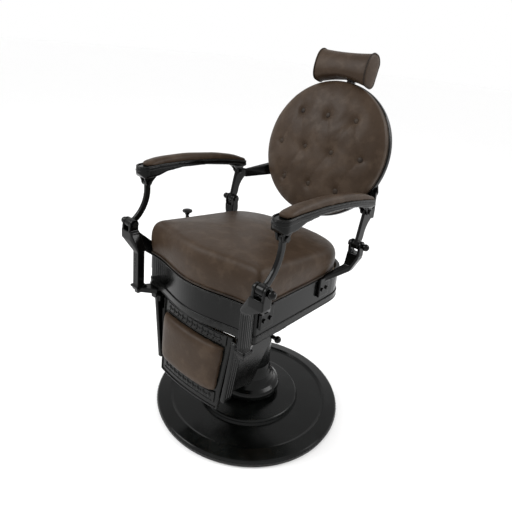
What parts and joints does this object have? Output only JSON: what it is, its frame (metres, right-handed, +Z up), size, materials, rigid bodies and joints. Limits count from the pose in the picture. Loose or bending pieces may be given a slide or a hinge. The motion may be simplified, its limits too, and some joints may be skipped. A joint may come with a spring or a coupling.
{
  "type": "hydraulic barber chair",
  "caption": "Hydraulic barber chair with a round tufted back, open cast arms, a swing-out legrest and a bolster headrest on a round pump base.",
  "frame": {"origin": "centre of the round base, on the floor", "axes": "+Z up along the lifting ram; the chair faces -Y; +X is the sitter's left"},
  "size_m": [0.6999, 0.8173, 1.3248],
  "materials": {
    "black_enamel": "satin black enamel on cast iron",
    "steel": "machined",
    "leather": "distressed dark brown, soft sheen",
    "rubber": "matt",
    "bronze": "turned",
    "plywood": "raw"
  },
  "bodies": {
    "base": {"base_plate": "black_enamel", "base_gasket": "rubber", "floor_plate": "steel", "pump_cylinder": "black_enamel", "cylinder_bolts": "steel", "gland_nut": "steel", "pump_cover": "black_enamel"},
    "lift": {"ram": "steel", "piston_head": "steel", "thrust_washer": "bronze"},
    "seat": {"seat_hub": "black_enamel", "seat_rails": "black_enamel", "seat_ring": "black_enamel", "seat_board": "plywood", "seat_cushion": "leather", "front_bracket_left": "black_enamel", "front_bracket_right": "black_enamel", "side_leg_left": "black_enamel", "side_leg_right": "black_enamel", "post_pin_left": "black_enamel", "post_pin_right": "black_enamel", "rear_bracket_left": "black_enamel", "rear_bracket_right": "black_enamel", "back_pin_left": "black_enamel", "back_pin_right": "black_enamel", "frame_bolts": "black_enamel", "legrest_pins": "steel"},
    "back": {"back_bracket_left": "black_enamel", "back_bracket_right": "black_enamel", "back_shell": "black_enamel", "back_cushion": "leather", "back_buttons": "leather", "headrest_socket": "black_enamel", "shell_bolts": "black_enamel"},
    "clamp_knob": {"clamp_knob": "black_enamel"},
    "headrest_slide": {"headrest_bar": "steel", "headrest_pivot": "steel"},
    "headrest": {"bolster_board": "black_enamel", "headrest_bolster": "leather"},
    "arm_left": {"arm_left": "black_enamel", "arm_pad_left": "leather", "arm_rear_pin_left": "black_enamel", "arm_front_pin_left": "black_enamel"},
    "post_left": {"front_post_left": "black_enamel"},
    "arm_right": {"arm_right": "black_enamel", "arm_pad_right": "leather", "arm_rear_pin_right": "black_enamel", "arm_front_pin_right": "black_enamel"},
    "post_right": {"front_post_right": "black_enamel"},
    "legrest": {"legrest_panel": "black_enamel", "calf_pad": "leather", "legrest_trim_top": "black_enamel", "legrest_trim_foot": "black_enamel"},
    "pump_lever": {"pump_lever": "black_enamel", "pump_lever_knob": "black_enamel"},
    "lock_lever": {"lock_lever": "black_enamel", "lock_knob": "black_enamel"}
  },
  "joints": [
    {"name": "seat_lift", "type": "slide", "parent": "base", "child": "lift", "axis": [0, 0, 1], "range_m": [-0.1, 0.06]},
    {"name": "seat_swivel", "type": "hinge", "parent": "lift", "child": "seat", "pos_m": [0, 0, 0.43], "axis": [0, 0, 1], "continuous": true},
    {"name": "back_recline", "type": "hinge", "parent": "seat", "child": "back", "pos_m": [0, 0.132, 0.722], "axis": [-1, 0, 0], "range_deg": [0, 40]},
    {"name": "legrest_swing", "type": "hinge", "parent": "seat", "child": "legrest", "pos_m": [0, -0.276, 0.44], "axis": [-1, 0, 0], "range_deg": [0, 60]},
    {"name": "headrest_height", "type": "slide", "parent": "back", "child": "headrest_slide", "axis": [0, 0.2823, 0.9593], "range_m": [0, 0.1]},
    {"name": "headrest_tilt", "type": "hinge", "parent": "headrest_slide", "child": "headrest", "pos_m": [0, 0.43926, 1.24585], "axis": [-1, 0, 0], "range_deg": [0, 40]},
    {"name": "clamp_knob_turn", "type": "hinge", "parent": "back", "child": "clamp_knob", "pos_m": [0, 0.39285, 1.07188], "axis": [0, 0.9593, -0.2823], "range_deg": [0, 90]},
    {"name": "pump_lever_swing", "type": "hinge", "parent": "seat", "child": "pump_lever", "pos_m": [-0.18, 0, 0.456], "axis": [-1, 0, 0], "range_deg": [-15, 15]},
    {"name": "lock_lever_turn", "type": "hinge", "parent": "seat", "child": "lock_lever", "pos_m": [0.1, -0.104, 0.402], "axis": [1, 0, 0], "range_deg": [-20, 20]},
    {"name": "arm_left_pivot", "type": "hinge", "parent": "back", "child": "arm_left", "pos_m": [0.292, 0.152, 0.837], "axis": [-1, 0, 0], "range_deg": [-43.5, 0]},
    {"name": "post_left_pivot", "type": "hinge", "parent": "seat", "child": "post_left", "pos_m": [0.292, -0.346, 0.716], "axis": [-1, 0, 0], "range_deg": [0, 37]},
    {"name": "arm_right_pivot", "type": "hinge", "parent": "back", "child": "arm_right", "pos_m": [-0.292, 0.152, 0.837], "axis": [-1, 0, 0], "range_deg": [-43.5, 0]},
    {"name": "post_right_pivot", "type": "hinge", "parent": "seat", "child": "post_right", "pos_m": [-0.292, -0.346, 0.716], "axis": [-1, 0, 0], "range_deg": [0, 37]}
  ],
  "couplings": [
    {"joint": "legrest_swing", "follows": "back_recline", "ratio": 1.5},
    {"joint": "arm_left_pivot", "follows": "back_recline", "ratio": -1.0756},
    {"joint": "post_left_pivot", "follows": "back_recline", "ratio": 0.9076},
    {"joint": "arm_right_pivot", "follows": "back_recline", "ratio": -1.0756},
    {"joint": "post_right_pivot", "follows": "back_recline", "ratio": 0.9076}
  ]
}
